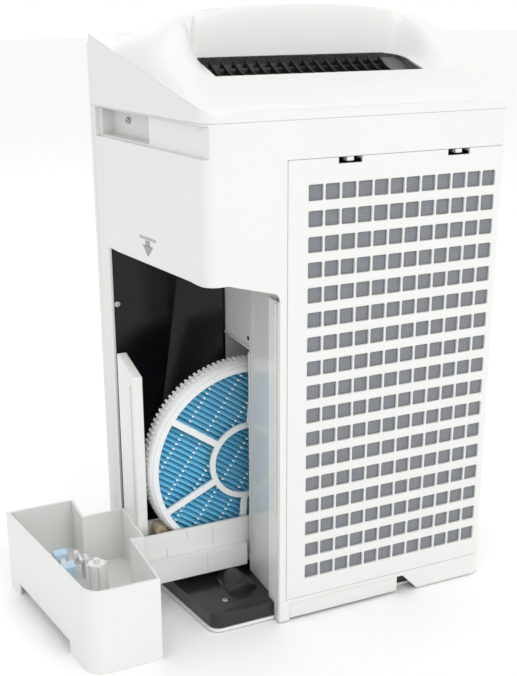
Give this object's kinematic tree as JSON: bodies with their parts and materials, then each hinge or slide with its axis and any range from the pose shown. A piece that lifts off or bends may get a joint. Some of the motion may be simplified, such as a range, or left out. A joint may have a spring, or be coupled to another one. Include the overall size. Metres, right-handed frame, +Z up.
{
  "type": "humidifying air purifier",
  "caption": "Floor-standing humidifying air purifier with arched top outlet, rear grille panel, layered filters and a pull-out side water tray carrying a spoked filter wheel.",
  "frame": {"origin": "on the floor under the middle of the casing, at the middle foot's underside", "axes": "+Z up, +Y out of the rear air intake, +X towards the tank bay that the tray slides out of"},
  "size_m": [0.5222, 0.238, 0.615],
  "materials": {
    "casing_white": "smooth, lightly glossed",
    "tray_white": "smooth moulded",
    "inner_grey": "smooth, glossed",
    "wheel_grey": "satin",
    "roller_tan": "satin",
    "liner_black": "glossy",
    "dark_plastic": "satin",
    "base_dark": "fine texture",
    "rim_white": "smooth",
    "foot_rubber": "matt",
    "steel": "brushed",
    "motor_metal": "satin",
    "blue_media": "pleated felt",
    "float_blue": "foam",
    "filter_frame": "satin",
    "filter_paper": "pleated paper",
    "carbon": "fine mesh over granules",
    "grey_mesh": "fine mesh",
    "lens": "smoked",
    "board": "solder mask",
    "button_grey": "satin"
  },
  "bodies": {
    "casing": {"front_panel": "casing_white", "side_shell": "casing_white", "top_cover": "casing_white", "outlet_grille": "dark_plastic", "outlet_duct": "dark_plastic", "control_panel": "liner_black", "display_lens": "lens", "circuit_board": "board", "base_pan": "base_dark", "base_rim": "rim_white", "feet": "foot_rubber", "filter_box": "inner_grey", "bay_liner": "liner_black", "bay_ceiling": "inner_grey", "bay_screws": "steel", "base_screw": "steel", "grip_screws": "steel", "fan_scroll": "dark_plastic", "fan_motor": "motor_metal", "wheel_motor": "motor_metal", "ion_unit": "dark_plastic", "sensor_cover": "casing_white", "dust_sensor": "dark_plastic", "cord_gland": "foot_rubber"},
    "tray": {"water_tray": "tray_white", "slot_cover": "tray_white", "valve_post": "tray_white", "float_bracket": "tray_white", "roller_pins": "steel"},
    "wheel": {"wheel_frame_rear": "wheel_grey", "wheel_frame_front": "wheel_grey", "wheel_media": "blue_media"},
    "roller_1": {"wheel_roller_1": "roller_tan"},
    "roller_2": {"wheel_roller_2": "roller_tan"},
    "float": {"float_blocks": "float_blue", "float_arm": "tray_white"},
    "rear_cover": {"rear_panel": "casing_white", "prefilter_mesh": "grey_mesh"},
    "latch_left": {"latch_tab_left": "casing_white"},
    "latch_right": {"latch_tab_right": "casing_white"},
    "odour_filter": {"carbon_filter": "carbon"},
    "fine_filter": {"hepa_frame": "filter_frame", "hepa_media": "filter_paper"},
    "fan": {"fan_impeller": "dark_plastic", "motor_shaft": "steel"},
    "pinion": {"drive_pinion": "wheel_grey"},
    "button_1": {"button_1": "button_grey"},
    "button_2": {"button_2": "button_grey"},
    "button_3": {"button_3": "button_grey"},
    "button_4": {"button_4": "button_grey"},
    "button_5": {"button_5": "button_grey"}
  },
  "joints": [
    {"name": "tray_slide", "type": "slide", "parent": "casing", "child": "tray", "axis": [0.9981, 0.0619, 0], "range_m": [-0.12925, 0.12]},
    {"name": "wheel_spin", "type": "hinge", "parent": "tray", "child": "wheel", "pos_m": [0.0825, 0.012, 0.147], "axis": [0, 1, 0], "continuous": true},
    {"name": "roller_1_spin", "type": "hinge", "parent": "tray", "child": "roller_1", "pos_m": [0.1778, 0.012, 0.07776], "axis": [0, 1, 0], "continuous": true},
    {"name": "roller_2_spin", "type": "hinge", "parent": "tray", "child": "roller_2", "pos_m": [0.01326, 0.012, 0.0517], "axis": [0, 1, 0], "continuous": true},
    {"name": "float_swing", "type": "hinge", "parent": "tray", "child": "float", "pos_m": [0.256, -0.008, 0.052], "axis": [0, -1, 0], "range_deg": [0, 25]},
    {"name": "rear_cover_slide", "type": "slide", "parent": "casing", "child": "rear_cover", "axis": [0, 1, 0], "range_m": [0, 0.12]},
    {"name": "odour_filter_slide", "type": "slide", "parent": "casing", "child": "odour_filter", "axis": [0, 1, 0], "range_m": [0, 0.108]},
    {"name": "fine_filter_slide", "type": "slide", "parent": "casing", "child": "fine_filter", "axis": [0, 1, 0], "range_m": [0, 0.096]},
    {"name": "latch_left_press", "type": "slide", "parent": "rear_cover", "child": "latch_left", "axis": [0, 0, -1], "range_m": [0, 0.0015], "stiffness_N_per_m": 400},
    {"name": "latch_right_press", "type": "slide", "parent": "rear_cover", "child": "latch_right", "axis": [0, 0, -1], "range_m": [0, 0.0015], "stiffness_N_per_m": 400},
    {"name": "fan_spin", "type": "hinge", "parent": "casing", "child": "fan", "pos_m": [-0.045, -0.088, 0.29], "axis": [0, 1, 0], "continuous": true},
    {"name": "pinion_spin", "type": "hinge", "parent": "casing", "child": "pinion", "pos_m": [-0.13866, 0.004, 0.22433], "axis": [0, 1, 0], "continuous": true},
    {"name": "button_1_press", "type": "slide", "parent": "casing", "child": "button_1", "axis": [0, 0.3728, -0.9279], "range_m": [0, 0.001], "stiffness_N_per_m": 500},
    {"name": "button_2_press", "type": "slide", "parent": "casing", "child": "button_2", "axis": [0, 0.3728, -0.9279], "range_m": [0, 0.001], "stiffness_N_per_m": 500},
    {"name": "button_3_press", "type": "slide", "parent": "casing", "child": "button_3", "axis": [0, 0.3728, -0.9279], "range_m": [0, 0.001], "stiffness_N_per_m": 500},
    {"name": "button_4_press", "type": "slide", "parent": "casing", "child": "button_4", "axis": [0, 0.3728, -0.9279], "range_m": [0, 0.001], "stiffness_N_per_m": 500},
    {"name": "button_5_press", "type": "slide", "parent": "casing", "child": "button_5", "axis": [0, 0.3728, -0.9279], "range_m": [0, 0.001], "stiffness_N_per_m": 500}
  ],
  "couplings": [
    {"joint": "odour_filter_slide", "follows": "rear_cover_slide", "ratio": 0.9},
    {"joint": "fine_filter_slide", "follows": "rear_cover_slide", "ratio": 0.8}
  ]
}
